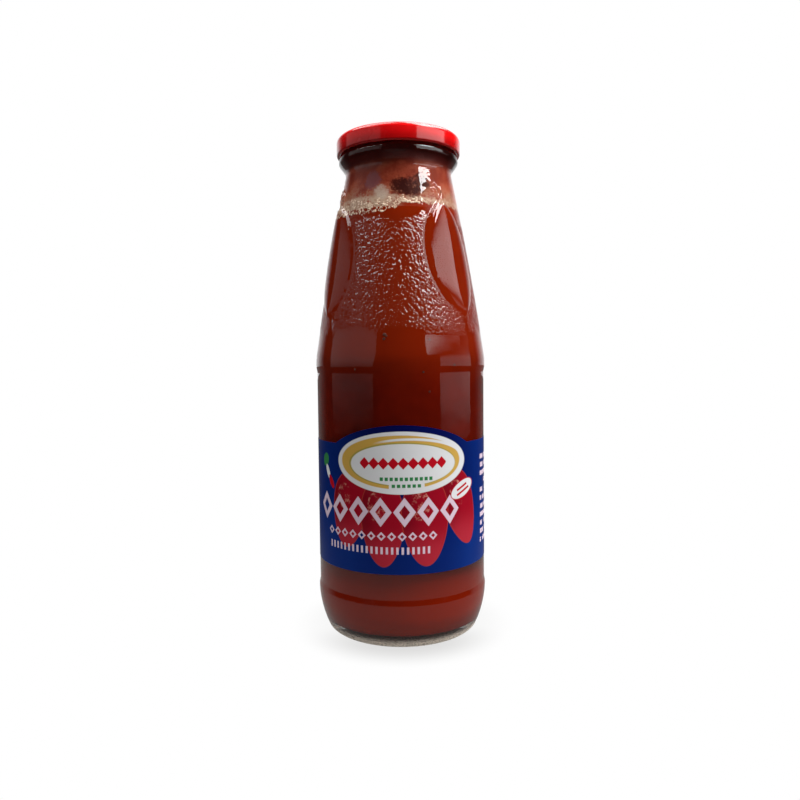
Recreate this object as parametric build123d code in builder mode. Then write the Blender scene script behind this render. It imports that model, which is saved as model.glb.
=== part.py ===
from build123d import *
import math
import os

# A bottle of tomato passata: a moulded clear-glass bottle with plum tomatoes in
# relief on its shoulder, the passata inside it, a pressed lug cap on its mouth and
# a paper label that wraps round it.
#
# Millimetres, +Z up. The origin is the centre of the ring that the bottle stands
# on, and the middle of the label faces -Y.

# ---- Bottle: overall ----
overall_height = 222.5  # table to the top of the cap
body_radius = 38.8  # the two bulges that guard the label
neck_radius = 23.8  # narrowest place, under the bead

# ---- Bottle: foot and heel ----
foot_corner_inset = 5.0  # heel corner, in from the body radius
foot_ring_width = 4.5  # heel corner to the inner edge of the ring that touches the table
foot_inner_rounding = 0.9
heel_height = 10.0  # where the heel's slope meets the upright wall
heel_low_rounding = 3.4  # onto the table
heel_high_rounding = 37.5  # long one into the wall
punt_height = 3.5  # hollow under the base
punt_slope_width = 11.2  # ring to the punt's flat middle
punt_rounding = 30.0

# ---- Bottle: walls ----
base_wall = 4.5
floor_sag = 2.8  # inner floor falls this far from its middle to its edge
floor_edge_inset = 9.0  # inner wall to the lowest part of the floor
floor_edge_rounding = 3.0
inner_heel_rounding = 8.4
body_wall = 2.4  # behind the label panel
neck_wall = 2.3

# ---- Bottle: label panel ----
panel_recess = 0.45  # depth of the panel below the bulges
panel_bottom_z = 22.2
panel_top_z = 117.6
ledge_height = 2.3  # slope from a bulge to the panel
ledge_rounding = 4.0

# ---- Bottle: shoulder ----
shoulder_z = 123.3  # corner between the upright wall and the shoulder
shoulder_blend = 1.8  # how far from its corner the rounding starts
shoulder_swell = 0.95  # how far the shoulder bows out from a straight cone
swell_share = 0.48  # height of the fullest point, from 0 at the shoulder to 1 at the neck
swell_blend_share = 0.6  # share of the shorter side that the fullest point's rounding takes

# ---- Bottle: neck, bead and rim under the cap ----
neck_rounding = 3.0
bead_overhang = 3.2  # beyond the neck
bead_height = 6.7  # from the neck to the top of the bead
bead_slope_height = 4.4  # height of the bead's slanting underside
bead_rounding = 0.9
finish_overhang = 1.2  # plain wall inside the cap, beyond the neck
finish_height = 7.8  # bead top to rim
rim_rounding = 0.9

# ---- Tomatoes in relief ----
tomato_azimuths = (45, 165, 298)  # degrees round from the front, towards +X
tomato_relief = 1.1  # how far they stand out from the shoulder
tomato_half_width = 12.9
tomato_lean = 7.0  # degrees, tip towards the larger azimuth
tomato_tip_gap = 18.2  # shoulder corner to the tip
tomato_top_gap = 17.4  # neck to the top of the fruit
tomato_widest_share = 0.53  # height of the widest place, from 0 at the tip to 1 at the top
sepal_count = 5
sepal_length = 10.5
sepal_half_width = 1.5
sepal_start = 90  # degrees, the first one points up
relief_root = 1.0  # how deep the relief is let into the wall

# ---- Passata ----
headspace = 33.9  # rim down to the surface of the passata

# ---- Cap ----
cap_clearance = 2.55  # bottle's wall to the inside of the cap's skirt
cap_sheet = 0.45  # thickness of the pressed plate
cap_liner = 0.65  # sealing compound between the plate and the rim
cap_edge_radius = 2.2  # rounding between the skirt and the top
cap_gap = 1.0  # bead top to the bottom of the curl
curl_radius = 0.9
cap_panel_gap = 1.9  # mouth to the cap's sunk middle
cap_panel_depth = 1.0
cap_panel_slope = 1.0
button_radius = 8.5  # safety button in the middle of the panel
button_height = 0.4
cap_crease = 0.4  # rounding of the small steps

# ---- Label ----
label_thickness = 0.12
label_gap_below = 11.1  # panel bottom to the label's lower edge
label_height = 54.2  # lower edge to the upper edge at the sides
hump_rise = 8.4  # how far the front arch stands above the upper edge
hump_drop = 7.3  # upper edge down to the middle of the arch's ellipse
hump_half_width = 31.7  # half the ellipse, seen from straight ahead

# ---- Worked out from the sizes above ----
panel_radius = body_radius - panel_recess
cavity_radius = panel_radius - body_wall
heel_corner_radius = body_radius - foot_corner_inset
foot_inner_radius = heel_corner_radius - foot_ring_width
punt_flat_radius = foot_inner_radius - punt_slope_width
floor_edge_radius = cavity_radius - floor_edge_inset
mouth_radius = neck_radius - neck_wall
bead_radius = neck_radius + bead_overhang
finish_radius = neck_radius + finish_overhang
rim_z = overall_height - cap_sheet - cap_liner
bead_top_z = rim_z - finish_height
neck_z = bead_top_z - bead_height
fill_z = rim_z - headspace
floor_z = punt_height + base_wall
floor_edge_z = floor_z - floor_sag
label_bottom_z = panel_bottom_z + label_gap_below
label_top_z = label_bottom_z + label_height
hump_centre_z = label_top_z - hump_drop


def blend_radius(before, corner, after, run):
    """Radius of the rounding that starts a given run away from a corner."""
    way_in = Vector(*corner) - Vector(*before)
    way_out = Vector(*after) - Vector(*corner)
    return run / math.tan(math.radians(way_in.get_angle(way_out)) / 2)


def shoulder_corners(lower_radius, upper_radius):
    """Corners of the shoulder, from the upright wall to the neck: (point, rounding)."""
    low = (lower_radius, shoulder_z)
    neck = (upper_radius, neck_z)
    full_radius = lower_radius + (upper_radius - lower_radius) * swell_share + shoulder_swell
    full = (full_radius, shoulder_z + (neck_z - shoulder_z) * swell_share)
    below = (lower_radius, panel_top_z)
    shorter_side = min(math.dist(low, full), math.dist(full, neck))
    return [
        (low, blend_radius(below, low, full, shoulder_blend)),
        (full, blend_radius(low, full, neck, shorter_side * swell_blend_share)),
        (neck, neck_rounding),
    ]


# Outer wall, from the middle of the base to the rim.
outer_corners = [
    ((punt_flat_radius, punt_height), punt_rounding),
    ((foot_inner_radius, 0), foot_inner_rounding),
    ((heel_corner_radius, 0), heel_low_rounding),
    ((body_radius, heel_height), heel_high_rounding),
    ((body_radius, panel_bottom_z - ledge_height), ledge_rounding),
    ((panel_radius, panel_bottom_z), ledge_rounding),
    ((panel_radius, panel_top_z), ledge_rounding),
    ((body_radius, panel_top_z + ledge_height), ledge_rounding),
    *shoulder_corners(body_radius, neck_radius),
    ((bead_radius, neck_z + bead_slope_height), bead_rounding),
    ((bead_radius, bead_top_z), bead_rounding),
    ((finish_radius, bead_top_z), 0),
    ((finish_radius, rim_z), rim_rounding),
]

# Inner wall, from the middle of the floor to the mouth.
inner_corners = [
    ((punt_flat_radius, floor_z), punt_rounding),
    ((floor_edge_radius, floor_edge_z), floor_edge_rounding),
    ((cavity_radius, floor_edge_z), inner_heel_rounding),
    *shoulder_corners(cavity_radius, mouth_radius),
]

# ---- Tomatoes: plum fruit and leafy calyx, cut out of a skin over the shoulder ----
tomato_tip_z = shoulder_z + tomato_tip_gap
tomato_top_z = neck_z - tomato_top_gap
tomato_widest_z = tomato_tip_z + (tomato_top_z - tomato_tip_z) * tomato_widest_share

with BuildPart() as tomatoes:
    for azimuth in tomato_azimuths:
        turn = math.radians(azimuth)
        outward = (math.sin(turn), -math.cos(turn), 0)
        sideways = (math.cos(turn), math.sin(turn), 0)
        face = Plane(origin=(0, 0, tomato_widest_z), x_dir=sideways, z_dir=outward)
        with BuildSketch(face.rotated((0, 0, tomato_lean))):
            with BuildLine():
                Spline(
                    (0, tomato_tip_z - tomato_widest_z),
                    (tomato_half_width, 0),
                    (0, tomato_top_z - tomato_widest_z),
                    tangents=[(1, 0.5), (0, 1), (-1, 0)],
                )
                mirror(about=Plane.YZ)
            make_face()
            with Locations((0, tomato_top_z - tomato_widest_z)):
                with PolarLocations(0, sepal_count, start_angle=sepal_start):
                    Polygon(
                        (0, -sepal_half_width),
                        (sepal_length, 0),
                        (0, sepal_half_width),
                        align=None,
                    )
        extrude(amount=body_radius)
    with BuildSketch(Plane.XZ):
        with BuildLine():
            for step in (tomato_relief, -relief_root):
                (low, _), (full, rounding), (neck, _) = shoulder_corners(
                    body_radius + step, neck_radius + step
                )
                FilletPolyline(low, full, neck, radius=[rounding])
            for radius, height in ((body_radius, shoulder_z), (neck_radius, neck_z)):
                Line((radius + tomato_relief, height), (radius - relief_root, height))
        make_face()
    revolve(axis=Axis.Z, mode=Mode.INTERSECT)

# ---- Bottle: one turned section for the glass, with the tomatoes joined on ----
with BuildPart() as bottle:
    with BuildSketch(Plane.XZ):
        with BuildLine():
            section = [
                ((0, punt_height), 0),
                *outer_corners,
                ((mouth_radius, rim_z), rim_rounding),
                *reversed(inner_corners),
                ((0, floor_z), 0),
            ]
            FilletPolyline(
                *[point for point, rounding in section],
                radius=[rounding for point, rounding in section[1:-1]],
            )
            Line((0, floor_z), (0, punt_height))
        make_face()
    revolve(axis=Axis.Z)
    add(tomatoes.part)
bottle.part.label = "bottle"

# ---- Passata: fills the bottle's own inner wall up to its level ----
with BuildPart() as passata:
    with BuildSketch(Plane.XZ):
        with BuildLine():
            filling = [((0, floor_z), 0), *inner_corners, ((mouth_radius, rim_z), 0)]
            FilletPolyline(
                *[point for point, rounding in filling],
                radius=[rounding for point, rounding in filling[1:-1]],
            )
            Polyline((mouth_radius, rim_z), (0, rim_z), (0, floor_z))
        make_face()
    revolve(axis=Axis.Z)
    split(bisect_by=Plane.XY.offset(fill_z), keep=Keep.BOTTOM)
passata.part.label = "passata"

# ---- Cap: pressed plate with a sunk panel, a safety button and a rolled curl ----
cap_inner_radius = finish_radius + cap_clearance
cap_radius = cap_inner_radius + cap_sheet
cap_panel_radius = mouth_radius - cap_panel_gap
cap_panel_z = overall_height - cap_panel_depth
curl_z = bead_top_z + cap_gap + curl_radius
panel_rise_radius = cap_panel_radius + cap_panel_slope
cap_corners = [
    ((button_radius - cap_panel_slope, cap_panel_z + button_height), cap_crease),
    ((button_radius, cap_panel_z), cap_crease),
    ((cap_panel_radius, cap_panel_z), cap_crease),
    ((panel_rise_radius, overall_height), cap_crease),
    ((cap_radius, overall_height), cap_edge_radius),
    ((cap_radius, curl_z), 0),
    ((cap_inner_radius, curl_z), 0),
    ((cap_inner_radius, rim_z), cap_edge_radius - cap_sheet),
    ((panel_rise_radius, rim_z), 0),
    ((cap_panel_radius, cap_panel_z - cap_sheet), 0),
]

with BuildPart() as cap:
    with BuildSketch(Plane.XZ):
        with BuildLine():
            FilletPolyline(
                (0, cap_panel_z + button_height),
                *[point for point, rounding in cap_corners],
                (0, cap_panel_z - cap_sheet),
                radius=[rounding for point, rounding in cap_corners],
            )
            Line((0, cap_panel_z - cap_sheet), (0, cap_panel_z + button_height))
        make_face()
        with Locations((cap_radius - curl_radius, curl_z)):
            Circle(curl_radius)
    revolve(axis=Axis.Z)
cap.part.label = "cap"

# ---- Label: a paper sleeve on the panel, with an arch over its front ----
label_radius = panel_radius + label_thickness

with BuildPart() as label:
    with BuildSketch(Plane.XZ):
        with Locations((0, (label_bottom_z + label_top_z) / 2)):
            Rectangle(4 * label_radius, label_height)
    extrude(amount=2 * label_radius, both=True)
    with BuildSketch(Plane.XZ):
        with Locations((0, hump_centre_z)):
            Ellipse(hump_half_width, hump_drop + hump_rise)
    extrude(amount=2 * label_radius)
    with BuildSketch(Plane.XY):
        Circle(label_radius)
        Circle(panel_radius, mode=Mode.SUBTRACT)
    extrude(amount=overall_height, mode=Mode.INTERSECT)
label.part.label = "label"

# ---- Write one file for each piece ----
os.makedirs("parts", exist_ok=True)
for piece in (bottle, passata, cap, label):
    export_step(piece.part, f"parts/{piece.part.label}.step")
    box = piece.part.bounding_box()
    print(piece.part.label, round(piece.part.volume), "mm3, top at", round(box.max.Z, 2), "mm")
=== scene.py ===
# %% [markdown]
# # A bottle of tomato passata
# The real thing is a moulded clear-glass bottle, full of cooked tomato, with plum
# tomatoes in relief on its shoulder, a red lacquered lug cap and a blue paper label.
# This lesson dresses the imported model: the cap and the label keep their own shapes and
# get a finish, and the glass and the passata are modelled again with more detail.

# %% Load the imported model
import math
import random

import bmesh
import bpy
import numpy as np
from mathutils import Matrix, Vector, noise


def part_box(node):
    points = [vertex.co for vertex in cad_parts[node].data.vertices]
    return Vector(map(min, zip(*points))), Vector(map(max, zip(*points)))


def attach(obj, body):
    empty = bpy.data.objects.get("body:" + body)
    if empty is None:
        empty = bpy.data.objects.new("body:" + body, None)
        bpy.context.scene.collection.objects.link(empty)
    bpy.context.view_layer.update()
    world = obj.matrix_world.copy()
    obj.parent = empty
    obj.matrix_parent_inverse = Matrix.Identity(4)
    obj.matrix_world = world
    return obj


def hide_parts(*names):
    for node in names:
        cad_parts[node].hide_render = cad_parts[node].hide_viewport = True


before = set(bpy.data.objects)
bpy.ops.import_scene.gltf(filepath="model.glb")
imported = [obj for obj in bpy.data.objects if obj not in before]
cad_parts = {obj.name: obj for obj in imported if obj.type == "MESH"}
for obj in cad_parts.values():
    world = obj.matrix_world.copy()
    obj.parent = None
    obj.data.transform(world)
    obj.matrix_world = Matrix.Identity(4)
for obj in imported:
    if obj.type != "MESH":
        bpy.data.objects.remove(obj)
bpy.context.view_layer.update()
MM = 0.001
TURN = 2 * math.pi

# %% [markdown]
# ## Sizes
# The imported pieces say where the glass, its contents, the cap and the label are, so most
# sizes are read from their boxes. The glass section's corners are named here in the
# order in which a mould maker would draw them: a radius, a height and a rounding.

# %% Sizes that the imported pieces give
_, bottle_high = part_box("bottle")
passata_low, passata_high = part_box("passata")
_, label_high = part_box("label")
cap_low, cap_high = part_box("cap")
LABEL_PAPER = 0.12 * MM
body_radius = bottle_high.x
rim_z = bottle_high.z
panel_radius = label_high.x - LABEL_PAPER
cavity_radius = passata_high.x
floor_edge_z = passata_low.z
fill_z = passata_high.z
label_radius = label_high.x
print("body radius", round(body_radius / MM, 2), "rim", round(rim_z / MM, 2), "fill", round(fill_z / MM, 2))

# %% Sizes of the glass section
HEEL_RADIUS = body_radius - 5.0 * MM
FOOT_RING = 4.5 * MM
PUNT_SLOPE = 11.2 * MM
PUNT = 3.5 * MM
FLOOR_Z = PUNT + 4.5 * MM
HEEL_HEIGHT = 10.0 * MM
PANEL_BOTTOM, PANEL_TOP = 22.2 * MM, 117.6 * MM
LEDGE = 2.3 * MM
LEDGE_ROUNDING = 4.0 * MM
LOW_LEDGE_ROUNDING = 1.6 * MM
SHOULDER_Z = 123.3 * MM
SHOULDER_RUN = 1.8 * MM
NECK_RADIUS = 23.8 * MM
NECK_WALL = 2.3 * MM
BEAD_TOP = rim_z - 7.8 * MM
NECK_Z = BEAD_TOP - 6.7 * MM
BEAD_SLOPE = 4.4 * MM
BEAD_RADIUS = NECK_RADIUS + 3.2 * MM
FINISH_RADIUS = NECK_RADIUS + 1.2 * MM
SMALL_ROUNDING = 0.9 * MM
SWELL, SWELL_SHARE, SWELL_RUN_SHARE = 0.95 * MM, 0.48, 0.6
MOUTH_RADIUS = NECK_RADIUS - NECK_WALL
print("neck at", round(NECK_Z / MM, 2), "mm, mouth radius", round(MOUTH_RADIUS / MM, 2), "mm")

# %% [markdown]
# ## A section with rounded corners
# Glass flows into a mould, so every corner of a bottle is an arc. The section is drawn
# as a chain of straight edges, and each corner is then beveled as a vertex, which
# replaces it by an arc. A bevel wants the run along each edge, which follows from the
# arc's radius and the angle of the corner.


# %% Draw a chain and round its corners
def run_for(before, corner, after, radius):
    """How far from a corner its arc starts, for an arc of that radius."""
    turn = (corner - before).angle(after - corner)
    return radius * math.tan(turn / 2)


def rounded_chain(mesh, corners, segments=6):
    """A chain of edges in the XZ plane through (radius, height, rounding, run) corners."""
    points = [Vector((radius, 0, height)) for radius, height, _, _ in corners]
    verts = [mesh.verts.new(point) for point in points]
    for first, second in zip(verts, verts[1:]):
        mesh.edges.new((first, second))
    for index, (_, _, rounding, run) in list(enumerate(corners))[1:-1]:
        if rounding:
            run = run_for(points[index - 1], points[index], points[index + 1], rounding)
        if run:
            bmesh.ops.bevel(
                mesh,
                geom=[verts[index]],
                offset=run,
                affect="VERTICES",
                segments=segments,
                profile=0.5,
                material=-1,
            )


def divide_long_edges(mesh, low, high, longest):
    """Divides the chain's edges between two heights until none is longer than asked."""
    for edge in list(mesh.edges):
        length = edge.calc_length()
        middle = (edge.verts[0].co.z + edge.verts[1].co.z) / 2
        if low < middle < high and length > longest:
            bmesh.ops.subdivide_edges(mesh, edges=[edge], cuts=math.ceil(length / longest) - 1)


def shoulder(lower, upper):
    """The three corners of the shoulder, from the upright wall to the neck."""
    share = SWELL_SHARE
    full = Vector((lower + (upper - lower) * share + SWELL, 0, SHOULDER_Z + (NECK_Z - SHOULDER_Z) * share))
    sides = (full - Vector((lower, 0, SHOULDER_Z))).length, (Vector((upper, 0, NECK_Z)) - full).length
    return [
        (lower, SHOULDER_Z, 0, SHOULDER_RUN),
        (full.x, full.z, 0, min(sides) * SWELL_RUN_SHARE),
        (upper, NECK_Z, 3.0 * MM, 0),
    ]


foot_inner = HEEL_RADIUS - FOOT_RING
outer_corners = [
    (0, PUNT, 0, 0),
    (foot_inner - PUNT_SLOPE, PUNT, 30 * MM, 0),
    (foot_inner, 0, SMALL_ROUNDING, 0),
    (HEEL_RADIUS, 0, 3.4 * MM, 0),
    (body_radius, HEEL_HEIGHT, 37.5 * MM, 0),
    (body_radius, PANEL_BOTTOM - LEDGE, LOW_LEDGE_ROUNDING, 0),
    (panel_radius, PANEL_BOTTOM, LOW_LEDGE_ROUNDING, 0),
    (panel_radius, PANEL_TOP, LEDGE_ROUNDING, 0),
    (body_radius, PANEL_TOP + LEDGE, LEDGE_ROUNDING, 0),
    *shoulder(body_radius, NECK_RADIUS),
    (BEAD_RADIUS, NECK_Z + BEAD_SLOPE, SMALL_ROUNDING, 0),
    (BEAD_RADIUS, BEAD_TOP, SMALL_ROUNDING, 0),
    (FINISH_RADIUS, BEAD_TOP, 0, 0),
    (FINISH_RADIUS, rim_z, SMALL_ROUNDING, 0),
]
inner_corners = [
    (0, FLOOR_Z, 0, 0),
    (foot_inner - PUNT_SLOPE, FLOOR_Z, 30 * MM, 0),
    (cavity_radius - 9.0 * MM, floor_edge_z, 3.0 * MM, 0),
    (cavity_radius, floor_edge_z, 8.4 * MM, 0),
    *shoulder(cavity_radius, MOUTH_RADIUS),
]
print(len(outer_corners), "corners outside,", len(inner_corners), "inside")

# %% [markdown]
# ## Turning a section into a piece
# A lathe turns a profile, and Blender's spin does the same. A full spin with use_merge
# joins its last step to its first, and the pole vertices on the axis are merged
# afterwards. The normals are recalculated once the shell is closed.


# %% Spin, close and link
def turned(mesh, steps):
    """Spins the chain round Z, merges the poles and turns every face outwards."""
    bmesh.ops.spin(
        mesh,
        geom=mesh.verts[:] + mesh.edges[:],
        cent=(0, 0, 0),
        axis=(0, 0, 1),
        angle=TURN,
        steps=steps,
        use_merge=True,
    )
    bmesh.ops.remove_doubles(mesh, verts=mesh.verts[:], dist=0.002 * MM)
    bmesh.ops.recalc_face_normals(mesh, faces=mesh.faces[:])


def piece_from(mesh, name, finish, replaced=None):
    """Links a bmesh as a finished, smooth piece that rides on the model's one body."""
    for face in mesh.faces:
        face.smooth = True
    data = bpy.data.meshes.new(name)
    mesh.to_mesh(data)
    mesh.free()
    data.materials.append(finish)
    piece = bpy.data.objects.new(name, data)
    bpy.context.scene.collection.objects.link(piece)
    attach(piece, "root")
    if replaced:
        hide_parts(replaced)
    triangles = sum(len(polygon.vertices) - 2 for polygon in data.polygons)
    print(name, triangles, "triangles")


def azimuth_of(point):
    """Degrees round from the front, towards +X, from -180 to 180."""
    return math.degrees(math.atan2(point.x, -point.y))


def on_wall(azimuth, radius, height):
    turn = math.radians(azimuth)
    return Vector((radius * math.sin(turn), -radius * math.cos(turn), height))


def smooth_step(low, high, value):
    share = min(max((value - low) / (high - low), 0), 1)
    return share * share * (3 - 2 * share)


def wall_line(corners):
    """The rounded wall through those corners, as heights and radii that go upwards."""
    mesh = bmesh.new()
    rounded_chain(mesh, corners, segments=16)
    points = sorted((vert.co.z, vert.co.x) for vert in mesh.verts)
    mesh.free()
    return np.array(points).T


outer_line = wall_line(outer_corners[5:12])
inner_line = wall_line([*inner_corners[3:], (MOUTH_RADIUS, rim_z, 0, 0)])


def outer_radius(height):
    return float(np.interp(height, *outer_line))


def inner_radius(height):
    return float(np.interp(height, *inner_line))


print("wall at mid shoulder:", round((outer_radius(0.165) - inner_radius(0.165)) / MM, 2), "mm")

# %% [markdown]
# ## Shader maths as Python
# A procedural finish is mostly sums on numbers. A small class wraps a node's output, so
# that 1 - mask or a * b adds the Math nodes by itself, and a second class holds one
# material's node tree with a single method for every other kind of node.


# %% A socket that can be added and multiplied
class Value:
    """One number socket in a finish. Python's operators on it add Math nodes."""

    def __init__(self, finish, socket):
        self.finish, self.socket = finish, socket

    def sum(self, operation, *others):
        sockets = dict(enumerate((self, *others)))
        return self.finish.value("ShaderNodeMath", {"operation": operation}, sockets)

    def swapped(self, operation, other):
        return self.finish.value("ShaderNodeMath", {"operation": operation}, {0: other, 1: self})

    def __add__(self, other):
        return self.sum("ADD", other)

    def __sub__(self, other):
        return self.sum("SUBTRACT", other)

    def __rsub__(self, other):
        return self.swapped("SUBTRACT", other)

    def __mul__(self, other):
        return self.sum("MULTIPLY", other)

    def __truediv__(self, other):
        return self.sum("DIVIDE", other)

    def __pow__(self, other):
        return self.sum("POWER", other)

    def __neg__(self):
        return self.sum("MULTIPLY", -1.0)

    def __abs__(self):
        return self.sum("ABSOLUTE")

    __radd__, __rmul__ = __add__, __mul__


class Finish:
    """One material, with its nodes made by value(), node() and the helpers below."""

    def __init__(self, name, tree=None):
        self.material = None if tree else bpy.data.materials.new(name)
        if self.material:
            self.material.use_nodes = True
        self.tree = tree or self.material.node_tree
        self.tree.nodes.clear()

    def node(self, kind, settings=None, sockets=None):
        """A node of that kind: its settings first, then each socket's value or link."""
        made = self.tree.nodes.new(kind)
        for name, setting in (settings or {}).items():
            setattr(made, name, setting)
        for name, fed in (sockets or {}).items():
            if isinstance(fed, Value):
                fed = fed.socket
            if isinstance(fed, bpy.types.NodeSocket):
                self.tree.links.new(fed, made.inputs[name])
            else:
                made.inputs[name].default_value = fed
        return made

    def value(self, kind, settings=None, sockets=None, output=0):
        return Value(self, self.node(kind, settings, sockets).outputs[output])

    def place(self):
        """The spot's place in metres, as a vector socket and three values."""
        spot = self.node("ShaderNodeTexCoord").outputs["Object"]
        parts = self.node("ShaderNodeSeparateXYZ", None, {0: spot})
        return spot, *(Value(self, output) for output in parts.outputs)

    def noise(self, spot, spacing, detail=2.0, roughness=0.5):
        """Smooth noise from 0 to 1, with lumps about that far apart."""
        sockets = {"Vector": spot, "Scale": 1 / spacing, "Detail": detail, "Roughness": roughness}
        return self.value("ShaderNodeTexNoise", None, sockets)

    def step(self, value, low, high):
        """0 below low, 1 above high and smooth between. low may be above high."""
        sockets = {"Value": value, "From Min": low, "From Max": high}
        if low > high:
            sockets |= {"From Min": high, "From Max": low, "To Min": 1.0, "To Max": 0.0}
        return self.value("ShaderNodeMapRange", {"interpolation_type": "SMOOTHSTEP"}, sockets)

    def blend(self, below, above, share):
        """Colour above over colour below, by a share from 0 to 1."""
        below, above = ((*c, 1) if isinstance(c, tuple) and len(c) == 3 else c for c in (below, above))
        return self.node("ShaderNodeMix", {"data_type": "RGBA"}, {0: share, 6: below, 7: above}).outputs[2]

    def bump(self, height, distance, under=None):
        """A normal tilted by that height, on top of another bump if there is one."""
        sockets = {"Height": height, "Distance": distance}
        if under:
            sockets["Normal"] = under
        return self.node("ShaderNodeBump", None, sockets).outputs["Normal"]

    def mix(self, below, above, share):
        """A shader node over another one, by a share from 0 to 1."""
        return self.node("ShaderNodeMixShader", None, {0: share, 1: below.outputs[0], 2: above.outputs[0]})

    def principled(self, sockets):
        return self.node("ShaderNodeBsdfPrincipled", None, sockets)

    def emission(self, colour):
        return self.node("ShaderNodeEmission", None, {"Color": colour, "Strength": 1.0})

    def surface(self, shader):
        """Makes that shader node the material's surface."""
        self.node("ShaderNodeOutputMaterial", None, {"Surface": shader.outputs[0]})
        return self.material


print("finish kit ready")

# %% [markdown]
# ## Glass
# Clear bottle glass bends light by an index of about 1.5 and mirrors a few percent of
# it. Lamps must reach the passata behind it, which a path tracer finds hard through a
# bending surface, so rays that only carry light pass straight through, and rays that
# the eye follows meet real glass. Moulded glass is never quite flat: a slow waviness
# bends its reflections, and a faint haze of handling changes its roughness.


# %% Glass finish
PEBBLED = "pebbled"
PEBBLE = 1.25 * MM
PEBBLE_SLOPE = 0.32 * MM
WAVE_DEPTH = 0.09 * MM
STIPPLE_TOP, STIPPLE_FULL = 5.2 * MM, 1.6 * MM


def glass_finish():
    kit = Finish("bottle_glass")
    spot, _, _, height = kit.place()
    in_neck = kit.step(height, fill_z + 1 * MM, fill_z + 6 * MM)
    wave = kit.noise(spot, 9 * MM, 1.0) + kit.noise(spot, 3.2 * MM, 1.0) * in_neck * 0.6
    haze = kit.noise(spot, 22 * MM, 3.0, 0.6)
    pebbled = kit.value("ShaderNodeAttribute", {"attribute_name": PEBBLED}, output="Fac")
    cells = {"Vector": spot, "Scale": 1 / PEBBLE, "Smoothness": 0.25}
    apart = kit.value("ShaderNodeTexVoronoi", {"feature": "SMOOTH_F1"}, cells, output="Distance")
    domes = (1 - 1.4 * apart * apart) * pebbled
    clear = kit.principled(
        {
            "Base Color": (0.93, 0.96, 0.935, 1),
            "Roughness": 0.012 + kit.step(haze, 0.45, 0.8) * 0.03 + pebbled * 0.125,
            "IOR": 1.5,
            "Transmission Weight": 1.0,
            "Normal": kit.bump(domes, PEBBLE_SLOPE, kit.bump(wave, WAVE_DEPTH)),
        }
    )
    # The stippled foot is frosted glass. Its warm pale colour is partly painted light, standing in for light
    # carried down through the thick base.
    stipple = kit.noise(spot, 0.7 * MM, 2.0)
    foot = {"Base Color": (0.80, 0.70, 0.60, 1), "Roughness": 0.5 + stipple * 0.3}
    frosted_glow = kit.principled(foot)
    foot_share = kit.step(height, STIPPLE_TOP, STIPPLE_FULL) * kit.step(stipple, 0.2, 0.55) * 0.85
    wall = kit.mix(clear, frosted_glow, foot_share)
    path = kit.node("ShaderNodeLightPath").outputs
    light_only = Value(kit, path["Is Shadow Ray"]).sum("MAXIMUM", Value(kit, path["Is Diffuse Ray"]))
    open_air = kit.node("ShaderNodeBsdfTransparent", None, {"Color": (0.97, 0.985, 0.97, 1)})
    return kit.surface(kit.mix(wall, open_air, light_only))


glass = glass_finish()
print("glass finish:", len(glass.node_tree.nodes), "nodes")

# %% [markdown]
# ## Relief on the shoulder
# The mould has three plum tomatoes cut into it, each with a leafy calyx, and the wall
# between them is hammered with small pebbles. A height is worked out for each spot of
# the wall: a dome inside the fruit's outline, curved tapering sepals round its top, and
# pebbles from Voronoi cells a bit over a millimetre apart, which fade out by the fruit.
# Cells of that size in the glass finish bend its normals too, and catch more light.

# %% Measures of the relief
TOMATOES = (45, 165, 298)
TIP_Z, TOP_Z = SHOULDER_Z + 18.2 * MM, NECK_Z - 17.4 * MM
WIDEST_Z = TIP_Z + (TOP_Z - TIP_Z) * 0.53
HALF_WIDTH = 12.9 * MM
LEAN = math.radians(7)
FRUIT_HEIGHT = 1.9 * MM
FRUIT_EDGE = 1.1 * MM
SEPALS = ((88, 8.5, 10), (132, 6.5, -30), (50, 7.0, 25), (205, 11.0, 22), (-25, 8.0, -30), (110, 5.5, 0))
SEPAL_HALF_WIDTH = 0.85 * MM
SEPAL_HEIGHT = 1.1 * MM
PEBBLE_HEIGHT = 0.10 * MM
PEBBLE_LOW, PEBBLE_HIGH = 133 * MM, 186 * MM
CALYX_REACH = 12 * MM
EDGE_BAND = 0.12
SOME_PEBBLES, MANY_PEBBLES = 0.02, 0.6


def tomato_spot(azimuth, height, centre):
    """A wall spot as sideways and upward distances from the middle of a tomato."""
    apart = (azimuth - centre + 180) % 360 - 180
    middle_radius = (body_radius + NECK_RADIUS) / 2
    sideways, up = math.radians(apart) * middle_radius, height - WIDEST_Z
    return (
        sideways * math.cos(LEAN) + up * math.sin(LEAN),
        up * math.cos(LEAN) - sideways * math.sin(LEAN),
    )


def fruit_inside(sideways, up):
    """How far inside the plum outline a spot is: 0 at the edge, 1 on the middle line."""
    reach = (TOP_Z - WIDEST_Z) if up > 0 else (WIDEST_Z - TIP_Z)
    along = min(abs(up) / reach, 1)
    width = HALF_WIDTH * (1 - along**2.1) ** (0.5 if up > 0 else 0.72)
    return 1 - abs(sideways) / width if width > abs(sideways) else min(0, width - abs(sideways)) / HALF_WIDTH


def fruit_height(sideways, up):
    inside = fruit_inside(sideways, up)
    if inside <= 0:
        return 0
    step = smooth_step(0, FRUIT_EDGE / HALF_WIDTH, inside)
    dome = 1 - (1 - inside) ** 2
    return FRUIT_HEIGHT * (0.25 * step + 0.75 * dome)


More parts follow.
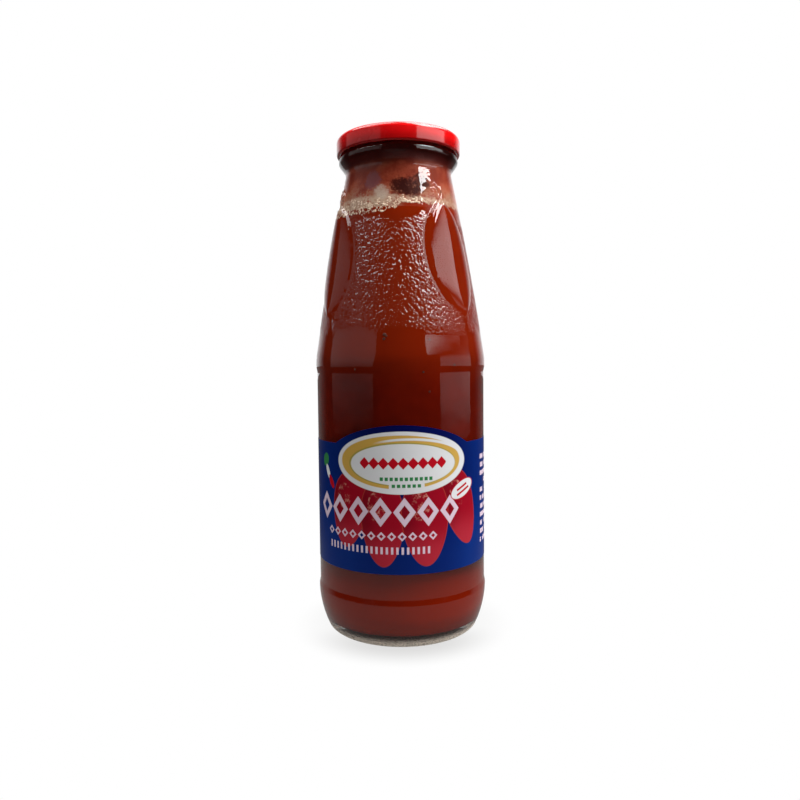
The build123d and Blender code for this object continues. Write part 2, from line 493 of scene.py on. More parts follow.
def sepal_height(sideways, up):
    """Curved, tapering leaves round the top of the fruit."""
    up = up - (TOP_Z - WIDEST_Z) - 1.2 * MM
    distance = math.hypot(sideways, up)
    best = 0
    for direction, length, curl in SEPALS:
        along = distance / (length * MM)
        if along > 1:
            continue
        bearing = math.degrees(math.atan2(up, sideways))
        off = math.radians((bearing - direction - curl * along + 180) % 360 - 180) * distance
        half = SEPAL_HALF_WIDTH * (0.55 + 0.9 * along) * (1 - along**2.2)
        if half > 0 and abs(off) < half:
            best = max(best, SEPAL_HEIGHT * smooth_step(0, 0.6, 1 - abs(off) / half))
    return best


def pebble_share(azimuth, height):
    """Where the wall is pebbled: 1 in the middle of a field, 0 on and near the fruit."""
    share = smooth_step(PEBBLE_LOW, PEBBLE_LOW + 5 * MM, height)
    share *= 1 - smooth_step(PEBBLE_HIGH - 6 * MM, PEBBLE_HIGH, height)
    for centre in TOMATOES:
        sideways, up = tomato_spot(azimuth, height, centre)
        share *= smooth_step(0.03, 0.16, -fruit_inside(sideways, up))
    return share


def pebbles(point):
    """A low dome in every Voronoi cell: 1 in its middle, 0 where it meets the next."""
    near, next_near = noise.voronoi(point / PEBBLE)[0][:2]
    return 1 - (near / next_near) ** 2


print("fruit from", round(TIP_Z / MM, 1), "to", round(TOP_Z / MM, 1), "mm")

# %% [markdown]
# ## The bottle
# One closed section makes the whole glass: outside from the base to the rim, and back
# down the inside. After the spin, only the shoulder's outside is divided finer, once
# where there is any relief and again where it is steep or fully pebbled, because even
# rows all over would need millions of faces. Each outside vertex there then moves out
# by the relief, and keeps its share of pebbles for the glass finish to read.

# %% Spin the glass
STEPS = 144
ROW = 1.75 * MM
RELIEF_LOW, RELIEF_HIGH = PEBBLE_LOW - 1 * MM, NECK_Z - 4 * MM
LONGEST_EDGE = 6 * MM
OUTER_SKIN = 1.2 * MM

glass_mesh = bmesh.new()
rounded_chain(
    glass_mesh,
    [*outer_corners, (MOUTH_RADIUS, rim_z, SMALL_ROUNDING, 0), *reversed(inner_corners)],
)
divide_long_edges(glass_mesh, RELIEF_LOW, RELIEF_HIGH, ROW)
divide_long_edges(glass_mesh, 0, rim_z, LONGEST_EDGE)
print("section points:", len(glass_mesh.verts))

# %% Divide the shoulder and raise the relief
turned(glass_mesh, STEPS)


def on_outside(vert):
    """True for a vertex of the shoulder's outer wall."""
    if not RELIEF_LOW < vert.co.z < RELIEF_HIGH:
        return False
    return math.hypot(vert.co.x, vert.co.y) > outer_radius(vert.co.z) - OUTER_SKIN


def has_relief(vert, pebbles_from):
    """True by a calyx or a fruit's edge, and where there is that share of pebbles."""
    azimuth, height = azimuth_of(vert.co), vert.co.z
    spots = [tomato_spot(azimuth, height, centre) for centre in TOMATOES]
    by_calyx = any(math.hypot(spot[0], spot[1] - TOP_Z + WIDEST_Z) < CALYX_REACH for spot in spots)
    by_edge = any(abs(fruit_inside(*spot)) < EDGE_BAND for spot in spots)
    return by_calyx or by_edge or pebble_share(azimuth, height) > pebbles_from


def divide_relief(pebbles_from):
    """Halves every edge whose two ends have relief."""
    chosen = {vert for vert in glass_mesh.verts if on_outside(vert) and has_relief(vert, pebbles_from)}
    edges = [edge for edge in glass_mesh.edges if chosen.issuperset(edge.verts)]
    bmesh.ops.subdivide_edges(glass_mesh, edges=edges, cuts=1, use_grid_fill=True)


divide_relief(SOME_PEBBLES)
divide_relief(MANY_PEBBLES)

pebbled = glass_mesh.verts.layers.float.new(PEBBLED)
for vert in glass_mesh.verts:
    if not on_outside(vert):
        continue
    azimuth, height = azimuth_of(vert.co), vert.co.z
    raised = 0
    for centre in TOMATOES:
        spot = tomato_spot(azimuth, height, centre)
        raised = max(raised, fruit_height(*spot), sepal_height(*spot))
    share = pebble_share(azimuth, height)
    vert[pebbled] = share
    if share > SOME_PEBBLES:
        raised += PEBBLE_HEIGHT * share * pebbles(vert.co)
    vert.co = on_wall(azimuth, outer_radius(height) + raised, height)
piece_from(glass_mesh, "glass_bottle", glass, "bottle")

# %% [markdown]
# ## Passata
# Sieved tomato is a thick, opaque, brownish red. Seen through glass it reaches the very
# wall, so the piece is a hair larger than the cavity and no air gap shows. Its colour
# isn't even: fine pulp and oil make lighter and darker flecks, and slow clouds where it
# settled. It sits inside glass, which takes away its own shine.


# %% Passata finish
def passata_finish():
    kit = Finish("passata_pulp")
    spot, _, _, height = kit.place()
    cloud = kit.noise(spot, 26 * MM, 3.0, 0.55)
    fleck = kit.noise(spot, 1.3 * MM, 3.0, 0.7)
    deep, plain, pale = (0.080, 0.0030, 0.0003), (0.125, 0.0050, 0.0004), (0.21, 0.018, 0.003)
    colour = kit.blend(deep, plain, kit.step(cloud, 0.32, 0.66))
    colour = kit.blend(colour, pale, kit.step(fleck, 0.62, 0.86) * 0.25)
    colour = kit.blend(colour, (0.07, 0.003, 0.0004), kit.step(fleck, 0.40, 0.22) * 0.5)
    # Painted light: the pulp is painted lighter in the shoulder and by the heel, where more light reaches it,
    # and the upright body is left darker. It is also lighter just under its level.
    shoulder_light = kit.step(height, PANEL_TOP - 8 * MM, SHOULDER_Z + 6 * MM)
    colour = kit.blend(colour, (0.185, 0.0115, 0.0010), shoulder_light * 0.85)
    heel_light = kit.step(height, 42 * MM, 20 * MM)
    colour = kit.blend(colour, (0.195, 0.0095, 0.0010), heel_light * 0.8)
    near_top = kit.step(height, fill_z - 9 * MM, fill_z + 1 * MM)
    colour = kit.blend(colour, (0.24, 0.016, 0.0015), near_top * 0.6)
    pulp = kit.principled(
        {
            "Base Color": colour,
            "Roughness": 0.7 + fleck * 0.2,
            "Specular IOR Level": 0.0,
            "Normal": kit.bump(fleck, 0.02 * MM),
        }
    )
    return kit.surface(pulp)


# %% Passata piece
INTO_WALL = 0.08 * MM
SURFACE_DIP = 0.6 * MM
SURFACE_RISE = (2.5 * MM, 0.5 * MM)
passata_corners = []
for radius, height, rounding, run in inner_corners:
    wider = radius + INTO_WALL if radius else 0
    lower = height - INTO_WALL if height < SHOULDER_Z else height
    passata_corners.append((wider, lower, rounding, run))
pulp_mesh = bmesh.new()
rounded_chain(pulp_mesh, [*passata_corners, (MOUTH_RADIUS + INTO_WALL, rim_z, 0, 0)])
bmesh.ops.bisect_plane(
    pulp_mesh,
    geom=pulp_mesh.verts[:] + pulp_mesh.edges[:],
    plane_co=(0, 0, fill_z),
    plane_no=(0, 0, 1),
    clear_outer=True,
)
edge_vert = max(pulp_mesh.verts, key=lambda vert: vert.co.z)
surface_middle = pulp_mesh.verts.new((0, 0, fill_z - SURFACE_DIP))
surface_rise = pulp_mesh.verts.new((edge_vert.co.x - SURFACE_RISE[0], 0, fill_z - SURFACE_RISE[1]))
pulp_mesh.edges.new((edge_vert, surface_rise))
pulp_mesh.edges.new((surface_rise, surface_middle))
divide_long_edges(pulp_mesh, 0, rim_z, 5 * MM)
turned(pulp_mesh, STEPS)
piece_from(pulp_mesh, "passata_fill", passata_finish(), "passata")

# %% [markdown]
# ## Film in the headspace
# Above its level the passata clings to the glass: a thin film with drips, bare patches
# and a paler crust of dried foam. The bare patches are painted near black, as painted
# shade of the dark headspace behind them. It is a thin sleeve that just reaches into the
# wall, with soft patches of colour placed round it where the real one has them.


# %% Film finish
NECK_INSIDE = 22.5 * MM
SMEARS = (
    ((-27, 199, 3.2, 4.2), (0.17, 0.075, 0.10), 0.5),
    ((-18, 193.8, 3.2, 3.2), (0.56, 0.42, 0.34), 0.8),
    ((62, 193, 3.5, 3.5), (0.34, 0.18, 0.12), 0.6),
)
SHADED_HOLES = ((2, 196.5, 4.2, 3.6), (12, 196, 5.0, 4.2), (24, 198, 4.0, 4.5), (120, 198, 6, 4), (-120, 197, 5, 5))


def film_finish():
    kit = Finish("passata_film")
    spot, x, y, height = kit.place()
    azimuth = x.sum("ARCTAN2", -y)
    around = azimuth * NECK_INSIDE
    smear = kit.noise(spot, 9 * MM, 4.0, 0.6)
    grain = kit.noise(spot, 1.1 * MM, 3.0, 0.75)

    def patch(degrees, level, half_width, half_height):
        """A ragged, grainy patch, full in its middle."""
        across = (around - math.radians(degrees) * NECK_INSIDE) / (half_width * MM)
        up = (height - level * MM) / (half_height * MM)
        edge = across * across + up * up + (grain - 0.5) * 3.0 + (smear - 0.5) * 3.0
        return kit.step(edge, 1.5, 0.3)

    colour = kit.blend((0.22, 0.026, 0.011), (0.34, 0.062, 0.030), kit.step(smear, 0.38, 0.62))
    colour = kit.blend(colour, (0.30, 0.09, 0.045), kit.step(grain, 0.60, 0.78) * 0.35)
    low = kit.step(height, fill_z + 13 * MM, fill_z + 3 * MM)
    speckled = kit.step(grain * 0.6 + smear * 0.4, 0.46, 0.60)
    colour = kit.blend(colour, (0.40, 0.22, 0.14), low * speckled * 0.75)
    leftward = kit.step(azimuth, math.radians(8), math.radians(-16))
    ragged = height + (smear - 0.5) * (5 * MM) + (grain - 0.5) * (2 * MM)
    crust = kit.step(ragged - leftward * (1.5 * MM), fill_z + 5.0 * MM, fill_z + 3.2 * MM)
    colour = kit.blend(colour, (0.58, 0.41, 0.30), crust * kit.step(grain, 0.34, 0.5) * 0.8)
    flood = kit.step(ragged, fill_z + 2.6 * MM, fill_z + 1.8 * MM) * (1 - leftward)
    colour = kit.blend(colour, (0.23, 0.015, 0.0015), flood)
    for where, shade, share in SMEARS:
        colour = kit.blend(colour, shade, patch(*where) * share)
    # Painted shade: the bare holes in the film are painted near black, as the shade of the dark headspace
    # seen through them.
    for where in SHADED_HOLES:
        hole_shade = patch(*where)
        colour = kit.blend(colour, (0.030, 0.003, 0.002), hole_shade * 0.95)
        colour = kit.blend(colour, (0.30, 0.08, 0.04), hole_shade * kit.step(grain, 0.60, 0.70) * 0.25)
    # Painted shade: the film is painted darker towards the neck, where the cap shades it.
    colour = kit.blend(colour, (0.11, 0.006, 0.003), kit.step(height, NECK_Z - 2 * MM, NECK_Z + 4 * MM))
    film = kit.principled(
        {
            "Base Color": colour,
            "Roughness": 0.24 + grain * 0.2,
            "Specular IOR Level": 0.08,
            "Normal": kit.bump(grain, 0.15 * MM),
        }
    )
    return kit.surface(film)


# %% Film piece
FILM = 0.3 * MM
FILM_INTO_WALL = 0.06 * MM
film_mesh = bmesh.new()
film_levels = [fill_z - 2 * MM, NECK_Z, rim_z - 1.2 * MM]
wall_side = [film_mesh.verts.new((inner_radius(z) + FILM_INTO_WALL, 0, z)) for z in film_levels]
air_side = [film_mesh.verts.new((inner_radius(z) - FILM, 0, z)) for z in reversed(film_levels)]
loop = wall_side + air_side
for first, second in zip(loop, loop[1:] + loop[:1]):
    film_mesh.edges.new((first, second))
divide_long_edges(film_mesh, 0, rim_z, 0.8 * MM)
for vert in film_mesh.verts:
    inside = vert.co.x < inner_radius(vert.co.z) - FILM / 2
    vert.co.x = inner_radius(vert.co.z) + (-FILM if inside else FILM_INTO_WALL)
turned(film_mesh, STEPS)
for vert in film_mesh.verts:
    radius = math.hypot(vert.co.x, vert.co.y)
    if radius < inner_radius(vert.co.z) - FILM / 2:
        thicker = 1 + 1.2 * noise.noise(vert.co / (3 * MM))
        vert.co = on_wall(azimuth_of(vert.co), inner_radius(vert.co.z) - FILM * thicker, vert.co.z)
piece_from(film_mesh, "headspace_film", film_finish())

# %% [markdown]
# ## Froth
# Cooking leaves a ring of cream-coloured foam where the passata meets the glass. It is
# made of separate bubbles: fifteen hundred plain spheres of forty faces each, placed by a
# seeded random order and pressed against the wall in a ragged band. It is wide at the
# left and thin where a tongue of passata has run over it. A plain ring of foam stands
# behind the bubbles, so no gap between them shows the dark headspace.


# %% Froth finish
FROTH_RIGHT = (0.36, 0.15, 0.08)


def froth_finish(name, dark, pale, right, spacing):
    """Foam from a dark to a pale colour, which turns to another one on the right."""
    kit = Finish(name)
    spot, x, _, _ = kit.place()
    grain = kit.noise(spot, spacing, 2.0, 0.6)
    cloud = kit.noise(spot, 7 * MM, 2.0, 0.5)
    colour = kit.blend(dark, pale, kit.step(grain * 0.6 + cloud * 0.4, 0.36, 0.60))
    colour = kit.blend(colour, right, kit.step(x, 5 * MM, 17 * MM) * 0.8)
    foam = kit.principled(
        {
            "Base Color": colour,
            "Roughness": 0.35 + grain * 0.25,
            "Specular IOR Level": 0.3,
            "Normal": kit.bump(grain, 0.05 * MM),
        }
    )
    return kit.surface(foam)


# %% Froth piece
BUBBLES = 1500
BUBBLE_RADII = (0.22 * MM, 0.62 * MM)
BUBBLE_SUNK, BUBBLE_INTO_WALL = 0.6, 0.10 * MM
FROTH_START, FROTH_RISE, FROTH_RAGGED = -2.4, 4.2, 0.7
FROTH_THICK, FROTH_THINNER, THINNEST = 4.8, 3.0, 0.6


def froth_band(azimuth):
    """The froth's lower and upper height at an azimuth."""
    ragged = noise.noise(on_wall(azimuth, 9, 0)) * 1.6 + noise.noise(on_wall(azimuth, 31, 5)) * 0.9
    right_side = smooth_step(-16, 8, azimuth) - smooth_step(70, 130, azimuth)
    low = fill_z + FROTH_START * MM + (FROTH_RISE * right_side + FROTH_RAGGED * ragged) * MM
    thick = FROTH_THICK - FROTH_THINNER * right_side + 1.2 * ragged
    thick += smooth_step(30, 0, abs(azimuth + 58))
    return low, low + max(thick, THINNEST) * MM


def copies_of(mesh, placings):
    """One mesh with a copy of a small template at every placing (place, scale)."""
    corners = np.array([vert.co for vert in mesh.verts])
    faces = [[vert.index for vert in face.verts] for face in mesh.faces]
    mesh.free()
    points = np.concatenate([corners * scale + np.array(place) for place, scale in placings])
    starts = [copy * len(corners) for copy in range(len(placings))]
    joined = [[index + start for index in face] for start in starts for face in faces]
    data = bpy.data.meshes.new("copies")
    data.from_pydata(points, [], joined)
    filled = bmesh.new()
    filled.from_mesh(data)
    bpy.data.meshes.remove(data)
    return filled


random.seed(7)
bubble_places = []
for _ in range(BUBBLES):
    azimuth = random.uniform(-180, 180)
    low, high = froth_band(azimuth)
    height = low + (high - low) * random.random() ** 1.3
    size = BUBBLE_RADII[0] + (BUBBLE_RADII[1] - BUBBLE_RADII[0]) * random.random() ** 2
    radius = inner_radius(height) - BUBBLE_SUNK * size + BUBBLE_INTO_WALL
    bubble_places.append((on_wall(azimuth, radius, height), size))
one_bubble = bmesh.new()
bmesh.ops.create_uvsphere(one_bubble, u_segments=8, v_segments=5, radius=1)
froth_mesh = copies_of(one_bubble, bubble_places)
cream = froth_finish("cream_froth", (0.58, 0.37, 0.25), (0.93, 0.73, 0.57), FROTH_RIGHT, 0.7 * MM)
piece_from(froth_mesh, "froth", cream)

# %% Froth backing
backing_mesh = bmesh.new()
upright = Matrix.Rotation(math.pi / 2, 4, "X")
bmesh.ops.create_circle(backing_mesh, segments=9, radius=1.0 * MM, matrix=upright)
bmesh.ops.translate(backing_mesh, verts=backing_mesh.verts[:], vec=(1, 0, 0))
turned(backing_mesh, STEPS)
for vert in backing_mesh.verts:
    around_ring = math.hypot(vert.co.x, vert.co.y) - 1
    azimuth = azimuth_of(vert.co)
    low, high = froth_band(azimuth)
    height = (low + high) / 2 + vert.co.z * (high - low) / (2.2 * MM)
    radius = inner_radius(height) - 0.75 * MM + around_ring * 0.8
    vert.co = on_wall(azimuth, radius, height)
# Painted shade: the backing is a darker copy of the froth's colours, painted as the shade in the gaps between
# bubbles.
foam_shade = froth_finish("froth_shade", (0.42, 0.24, 0.15), (0.76, 0.57, 0.44), FROTH_RIGHT, 1.2 * MM)
piece_from(backing_mesh, "froth_backing", foam_shade)

# %% [markdown]
# ## Bubbles trapped at the wall
# A few air bubbles stay between passata and glass. They are small flattened beads at
# listed places, and they show through the wall as dark dots.

# %% Air bubbles
AIR_BUBBLES = (
    (-10.5, 133.2, 0.75),
    (-10.8, 131.4, 0.6),
    (-9.2, 132.6, 0.45),
    (15, 117.8, 0.5),
    (19, 109.5, 0.45),
    (-31, 119.2, 0.5),
    (20, 131.0, 0.55),
    (38, 120.5, 0.5),
    (72, 140, 0.6),
    (110, 128, 0.6),
    (150, 112, 0.5),
    (200, 150, 0.7),
    (235, 121, 0.5),
    (262, 108, 0.6),
)
bubble_mesh = bmesh.new()
for azimuth, height, size in AIR_BUBBLES:
    turn = Matrix.Rotation(math.radians(azimuth), 4, "Z")
    flat = Matrix.Diagonal((1, 0.35, 1, 1))
    radius = inner_radius(height * MM) + INTO_WALL
    place = Matrix.Translation(on_wall(azimuth, radius, height * MM)) @ turn @ flat
    bmesh.ops.create_uvsphere(bubble_mesh, u_segments=12, v_segments=8, radius=size * MM, matrix=place)
# Painted shade: the beads are coloured darker than the passata, as the shade inside each air pocket.
BUBBLE_DARK, BUBBLE_PALE = (0.030, 0.004, 0.003), (0.10, 0.025, 0.015)
bubble_shade = froth_finish("bubble_shade", BUBBLE_DARK, BUBBLE_PALE, BUBBLE_DARK, 0.8 * MM)
piece_from(bubble_mesh, "air_bubbles", bubble_shade)

# %% [markdown]
# ## Cap
# A lug cap is pressed from tinplate and lacquered before it is pressed, so the colour
# is very even and the gloss is high, with a slight orange-peel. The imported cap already
# has the right shape, so it stays and gets a lacquer with a clear coat.


# %% Cap finish
def cap_finish():
    kit = Finish("red_lacquer")
    spot, _, _, height = kit.place()
    cloud = kit.noise(spot, 14 * MM, 3.0, 0.6)
    peel = kit.noise(spot, 1.6 * MM, 2.0, 0.5)
    colour = kit.blend((0.79, 0.003, 0.004), (0.88, 0.004, 0.006), kit.step(cloud, 0.35, 0.65))
    # Painted shade: the skirt is painted darker towards its bottom edge.
    skirt_shade = kit.step(height, cap_low.z + 6.0 * MM, cap_low.z + 0.5 * MM)
    colour = kit.blend(colour, (0.18, 0.001, 0.001), skirt_shade * 0.7)
    # Painted shade: a broken dark line is painted along the bottom of the curl.
    curl_shade = kit.step(height, cap_low.z + 0.7 * MM, cap_low.z) * kit.step(peel, 0.45, 0.7)
    colour = kit.blend(colour, (0.22, 0.004, 0.005), curl_shade * 0.6)
    lacquer = kit.principled(
        {
            "Base Color": colour,
            "Roughness": 0.22 + kit.step(cloud, 0.4, 0.8) * 0.10,
            "Specular IOR Level": 0.1,
            "Coat Weight": 0.8,
            "Coat Roughness": 0.04,
            "Normal": kit.bump(peel, 0.012 * MM),
        }
    )
    return kit.surface(lacquer)


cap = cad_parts["cap"]
cap.data.materials.clear()
cap.data.materials.append(cap_finish())
print("cap", [round(c / MM, 1) for c in cap_high - cap_low])

# %% [markdown]
# ## Label
# The paper sleeve is printed in flat inks. Its print is drawn by maths on two numbers of
# each spot: how far it is round the bottle from the front, and how high it is, both in
# millimetres. Each mark is a mask with a soft edge, laid over what is below it. Words
# are left out: plain lozenges, dashes and bars stand in their place.

# %% Print marks
PRINT_EDGE = 0.14


class Print(Finish):
    """A finish with flat printed marks, placed in millimetres round and up the label."""

    def __init__(self, name):
        super().__init__(name)
        self.spot, x, y, height = self.place()
        self.round = x.sum("ARCTAN2", -y) * (label_radius / MM)
        self.up = height / MM
        self.ink = None

    def turned_spot(self, centre, tilt):
        across, up = self.round - centre[0], self.up - centre[1]
        cos, sin = math.cos(math.radians(tilt)), math.sin(math.radians(tilt))
        return across * cos + up * sin, up * cos - across * sin

    def oval(self, centre, half, tilt=0, taper=0.0):
        """An oval, which a taper makes an egg with its blunt end up."""
        across, up = self.turned_spot(centre, tilt)
        wide = across / (half[0] * (1 + up * (taper / half[1]))) if taper else across / half[0]
        tall = up / half[1]
        distance = (wide * wide + tall * tall) ** 0.5
        edge = PRINT_EDGE / min(half)
        return self.step(distance, 1 + edge, 1 - edge)

    def bar(self, centre, half, tilt=0):
        across, up = self.turned_spot(centre, tilt)
        sides = [
            self.step(abs(off), reach + PRINT_EDGE, reach - PRINT_EDGE)
            for off, reach in zip((across, up), half)
        ]
        return sides[0] * sides[1]

    def row(self, start, end, level, half_height, count, filled, hollow=0.0):
        """A row of lozenges, or of dashes if hollow is None, between two places."""
        pitch = (end - start) / count
        cell = ((self.round - start) / pitch).sum("FRACT")
        across = abs(cell - 0.5) * (2 / filled)
        up = abs(self.up - level) / half_height
        inside = self.bar(((start + end) / 2, level), ((end - start) / 2, half_height))
        edge = PRINT_EDGE / half_height
        if hollow is None:
            return inside * self.step(across, 1 + edge, 1 - edge)
        distance = across + up
        ring = self.step(distance, 1 + edge, 1 - edge)
        if hollow:
            ring = ring * self.step(distance, hollow - edge, hollow + edge)
        return inside * ring

    def lines(self, start, end, top, count, pitch, half_height):
        """Lines of plain bars of uneven length, which stand for a block of small print."""
        rank = (top - self.up) / pitch
        half_block = count * pitch / 2
        inside = self.bar(((start + end) / 2, top - half_block), ((end - start) / 2, half_block))
        across = abs(rank.sum("FRACT") - 0.5) * pitch
        spot = self.node("ShaderNodeCombineXYZ", None, {0: self.round, 1: rank.sum("FLOOR") * 7.0}).outputs[0]
        bars = self.step(self.noise(spot, 3.2, 0.0), 0.40, 0.44)
        return inside * self.step(across, half_height + PRINT_EDGE, half_height - PRINT_EDGE) * bars

    def lay(self, ink, mask):
        self.ink = self.blend(self.ink, ink, mask)


# %% Label finish
WHITE_INK, GOLD_INK, GREEN_INK = (0.68, 0.685, 0.70), (0.56, 0.34, 0.07), (0.03, 0.20, 0.06)
RED_INK, PALE_INK, TOMATO_INK = (0.46, 0.004, 0.012), (0.66, 0.52, 0.62), (0.30, 0.003, 0.014)
BLUE_INK, LIGHT_BLUE_INK = (0.0008, 0.0032, 0.068), (0.0012, 0.021, 0.165)
OVAL_CENTRE = (0.0, 80.2)
PRINTED_TOMATOES = (
    ((27.6, 60.0), (8.8, 17.4), 18),
    ((-24.4, 59.5), (9.0, 16.2), -5),
    ((-8.4, 55.0), (9.4, 18.6), 2),
    ((10.2, 55.5), (10.4, 19.0), 1),
)


def label_finish():
    kit = Print("label_paper")
    fibre = kit.noise(kit.spot, 0.5 * MM, 3.0, 0.6)
    mottle = kit.noise(kit.spot, 2.6 * MM, 4.0, 0.7)
    lower = kit.step(kit.up, 74, 36)
    side = kit.step(abs(kit.round - 4), 12, 40)
    lighter = (lower * 0.6 + side * 0.7).sum("MINIMUM", 1.0)
    kit.ink = kit.blend(BLUE_INK, LIGHT_BLUE_INK, lighter)
    for centre, half, tilt in PRINTED_TOMATOES:
        shaded_side = kit.step(kit.round, centre[0] + 2, centre[0] - half[0])
        skin = kit.blend(TOMATO_INK, (0.19, 0.002, 0.010), shaded_side)
        low_side = kit.step(kit.up, centre[1], centre[1] - half[1] * 0.8)
        skin = kit.blend(skin, (0.45, 0.030, 0.050), low_side * 0.6)
        shine_centre = (centre[0] - half[0] * 0.25, centre[1] + half[1] * 0.36)
        shine = kit.oval(shine_centre, (half[0] * 0.42, half[1] * 0.34), tilt)
        skin = kit.blend(skin, (0.60, 0.26, 0.20), shine * kit.step(mottle, 0.50, 0.68) * 0.75)
        kit.lay((0.36, 0.035, 0.025), kit.oval(centre, half, tilt, 0.16))
        kit.lay(skin, kit.oval(centre, (half[0] - 0.35, half[1] - 0.35), tilt, 0.16))
    kit.lay(PALE_INK, kit.row(-44.5, 26.5, 59.6, 6.2, 7, 0.94, 0.48))
    kit.lay(PALE_INK, kit.row(-37.5, 15.5, 49.4, 1.9, 12, 0.86, 0.48))
    kit.lay(PALE_INK, kit.row(-36.5, 12.5, 43.4, 1.5, 22, 0.45, None))
    kit.lay(WHITE_INK, kit.oval(OVAL_CENTRE, (29.8, 13.1)))
    ring = kit.oval((-0.4, 80.5), (27.2, 11.2)) * (1 - kit.oval((0.8, 79.5), (23.4, 8.7)))
    ring = ring * (1 - kit.bar((2.2, 70.0), (7.5, 3.6)))
    split = kit.oval((3.4, 80.4), (26.0, 10.1)) * (1 - kit.oval((2.6, 80.0), (25.4, 9.5)))
    ring = ring * (1 - split * kit.step(kit.round, -13, -4) * kit.step(kit.up, 82, 86))
    shadow = kit.oval((0.5, 79.6), (23.9, 9.1)) * (1 - kit.oval((0.8, 79.5), (23.3, 8.6)))
    kit.lay(GOLD_INK, ring)
    kit.lay((0.22, 0.26, 0.05), shadow * ring * 0.7)
    kit.lay(RED_INK, kit.row(-18.0, 19.5, 80.0, 2.5, 9, 1.15, 0.0))
    kit.lay(GREEN_INK, kit.row(-9.5, 13.5, 73.5, 0.75, 11, 0.66, None))
    kit.lay(GREEN_INK, kit.row(-4.5, 8.5, 70.6, 0.7, 6, 0.66, None))
    kit.lay(RED_INK, kit.oval((28.6, 67.6), (7.2, 3.7), 24))
    kit.lay(WHITE_INK, kit.oval((28.6, 67.6), (6.8, 3.3), 24))
    kit.lay(RED_INK, kit.bar((28.3, 68.4), (3.2, 0.45), 24))
    kit.lay(RED_INK, kit.bar((29.0, 66.6), (4.0, 0.45), 24))
    kit.lay(GREEN_INK, kit.oval((-39.6, 79.6), (2.4, 3.0), -20))
    kit.lay(WHITE_INK, kit.oval((-37.8, 74.6), (1.3, 3.2), 24))
    kit.lay(RED_INK, kit.oval((-35.0, 70.4), (1.3, 3.2), 30))
    kit.lay(PALE_INK, kit.lines(43.8, 76.0, 81.5, 11, 3.75, 1.05))
    kit.lay(PALE_INK, kit.lines(-88.0, -56.0, 79.0, 12, 3.1, 0.7))
    kit.lay(WHITE_INK, kit.bar((99.0, 58.5), (15.0, 19.5)))
    kit.lay((0.02, 0.03, 0.15), kit.lines(86.5, 111.5, 76.0, 11, 3.2, 0.55))
    paper = kit.principled(
        {
            "Base Color": kit.blend(kit.ink, (0.5, 0.5, 0.5), kit.step(fibre, 0.66, 0.80) * 0.012),
            "Roughness": 0.30 + fibre * 0.12,
            "Specular IOR Level": 0.06,
            "Normal": kit.bump(fibre, 0.02 * MM),
        }
    )
    return kit.surface(paper)


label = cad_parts["label"]
label.data.materials.clear()
label.data.materials.append(label_finish())
print("label finish:", len(label.data.materials[0].node_tree.nodes), "nodes")

# %% [markdown]
# ## Floor, air and lamps
# The bottle stands on a table in a small studio: a white wall behind, a dark room in
# front, one bright soft box high on the right, two lamps overhead and paler screens on
# both sides, which fade at top and bottom as a lit panel does. Pure white round the
# bottle shows its outline best, but a white table would wash out the dark glass. So the
# eye sees plain white with a soft shade painted round the foot, while rays that reach
# the table by way of the glass or of the cap see a grey table that darkens away from
# the bottle.

# %% Floor
FOOT_SHADE = (0.73, 0.725, 0.72)
FOOT_SHADE_REACH = 33 * MM, 54 * MM
TABLE_GREY, TABLE_REACH = (0.37, 0.365, 0.35), (0.14, 0.23)
TABLE_BEHIND = (0.17, 0.165, 0.16)
THROUGH_GLASS, THROUGH_GLASS_REACH = (0.075, 0.030, 0.022, 1), (42 * MM, 60 * MM)


def floor_finish():
    kit = Finish("white_table")
    _, x, y, _ = kit.place()
    away = (x * x + y * y) ** 0.5
    path = kit.node("ShaderNodeLightPath").outputs
    by_foot = 1 - kit.step(away, *FOOT_SHADE_REACH)
    in_front = 0.25 + 0.75 * kit.step(-y / away, 0.2, 1.0)
    white = kit.blend((1.0, 1.0, 1.0), FOOT_SHADE, by_foot * in_front)
    grey = kit.blend(TABLE_GREY, (0.02, 0.02, 0.02), kit.step(away, *TABLE_REACH))
    matte = kit.principled({"Base Color": grey, "Roughness": 0.9, "Specular IOR Level": 0.0})
    mirrored = kit.blend(grey, TABLE_BEHIND, kit.step(away, *TABLE_REACH) * kit.step(y / away, 0.45, 0.9))
    refracted = Value(kit, path["Is Transmission Ray"])
    by_glass = Value(kit, path["Is Glossy Ray"]).sum("MAXIMUM", refracted)
    table = kit.mix(matte, kit.emission(mirrored), by_glass)
    far_through_glass = refracted * kit.step(away, *THROUGH_GLASS_REACH)
    table = kit.mix(table, kit.emission(THROUGH_GLASS), far_through_glass)
    return kit.surface(kit.mix(table, kit.emission(white), Value(kit, path["Is Camera Ray"])))


HALF_TABLE = 4.0
floor_mesh = bmesh.new()
bmesh.ops.create_grid(floor_mesh, x_segments=1, y_segments=1, size=HALF_TABLE)
floor_data = bpy.data.meshes.new("table")
floor_mesh.to_mesh(floor_data)
floor_mesh.free()
floor_data.materials.append(floor_finish())
floor = bpy.data.objects.new("table", floor_data)
bpy.context.scene.collection.objects.link(floor)
print("table", len(floor_data.polygons), "face")

# %% Air
ROOM_DARK, ROOM_WHITE = (0.02, 0.02, 0.02), (0.90, 0.90, 0.91)
WALL_SHARE = 0.55, 0.9

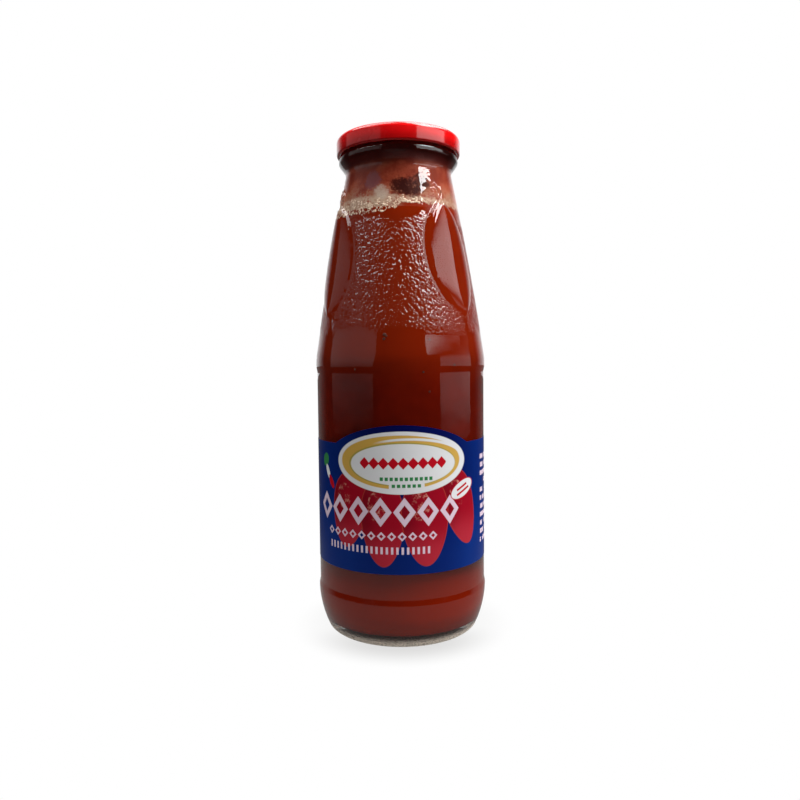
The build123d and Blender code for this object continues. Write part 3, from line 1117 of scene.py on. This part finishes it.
world = bpy.data.worlds.new("studio")
world.use_nodes = True
bpy.context.scene.world = world
air = Finish("studio", world.node_tree)
direction = air.node("ShaderNodeTexCoord").outputs["Generated"]
parts = air.node("ShaderNodeSeparateXYZ", None, {0: direction}).outputs
backwards = Value(air, parts["Y"])
room = air.blend(ROOM_DARK, ROOM_WHITE, air.step(backwards, *WALL_SHARE))
path = air.node("ShaderNodeLightPath").outputs
sky = air.blend(room, (1.0, 1.0, 1.0), Value(air, path["Is Camera Ray"]))
background = air.node("ShaderNodeBackground", None, {"Color": sky, "Strength": 1.0})
air.node("ShaderNodeOutputWorld", None, {"Surface": background.outputs[0]})
print("air finish:", len(world.node_tree.nodes), "nodes")

# %% Lamps
LAMP_TARGET = Vector((0, 0, 0.125))
LAMP_FADE = 0.35


def soft_box(name, azimuth, elevation, distance, width, height, radiance, fade=0.0):
    """A lamp that faces the bottle, that bright in a mirror, and may fade at top and bottom."""
    data = bpy.data.lights.new(name, "AREA")
    data.shape = "RECTANGLE"
    data.size, data.size_y = width, height
    data.energy = radiance * 4 * width * height
    if fade:
        data.use_nodes = True
        shade = Finish(name, data.node_tree)
        spread = shade.node("ShaderNodeNewGeometry").outputs["Parametric"]
        up = shade.value("ShaderNodeSeparateXYZ", None, {0: spread}, output="Y")
        lit = shade.step(up, 0, fade) * shade.step(up, 1, 1 - fade)
        full = (1 / (1 - fade),) * 3
        glow = shade.emission(shade.blend((0, 0, 0), full, lit))
        shade.node("ShaderNodeOutputLight", None, {"Surface": glow.outputs[0]})
    lamp = bpy.data.objects.new(name, data)
    level = distance * math.cos(math.radians(elevation))
    lamp.location = LAMP_TARGET + on_wall(azimuth, level, distance * math.sin(math.radians(elevation)))
    lamp.rotation_euler = (LAMP_TARGET - lamp.location).to_track_quat("-Z", "Y").to_euler()
    lamp.visible_camera = False
    bpy.context.scene.collection.objects.link(lamp)
    print(name, round(data.energy, 2), "W")


soft_box("key_box", 60, 51, 0.75, 0.31, 0.37, 14)
soft_box("right_screen_high", 63, 25, 0.85, 0.86, 0.34, 1.5, LAMP_FADE)
soft_box("right_screen_low", 80, 2, 0.80, 0.80, 0.36, 0.33, LAMP_FADE)
soft_box("left_screen", -70, 16, 0.80, 1.15, 0.80, 0.20, LAMP_FADE)
soft_box("ceiling_left", -85, 67, 0.80, 0.60, 0.60, 4.4)
soft_box("ceiling_right", 108, 66, 0.80, 0.55, 0.55, 6.5)

# %% [markdown]
# ## Camera
# The camera stands a little above the middle of the bottle and quite close, so the cap
# is seen from below and the base from above. It is tipped down by a few degrees, and
# rolled by half a degree, which leans the bottle slightly.

# %% Camera
CAMERA_DISTANCE, CAMERA_HEIGHT, CAMERA_SIDE = 0.320, 0.1227, -0.0003
LENS, SENSOR, NEAREST = 30.915, 36, 0.01
TILT_DOWN, ROLL = math.radians(3.32), math.radians(-0.57)

camera_data = bpy.data.cameras.new("camera")
camera_data.sensor_width = SENSOR
camera_data.lens = LENS
camera_data.clip_start = NEAREST
camera = bpy.data.objects.new("camera", camera_data)
camera.location = (CAMERA_SIDE, -CAMERA_DISTANCE, CAMERA_HEIGHT)
aim = Matrix.Rotation(math.pi / 2 - TILT_DOWN, 3, "X") @ Matrix.Rotation(ROLL, 3, "Z")
camera.rotation_euler = aim.to_euler()
bpy.context.scene.collection.objects.link(camera)
bpy.context.scene.camera = camera
bpy.context.scene.view_settings.view_transform = "Standard"
print("camera at", [round(c, 4) for c in camera.location])
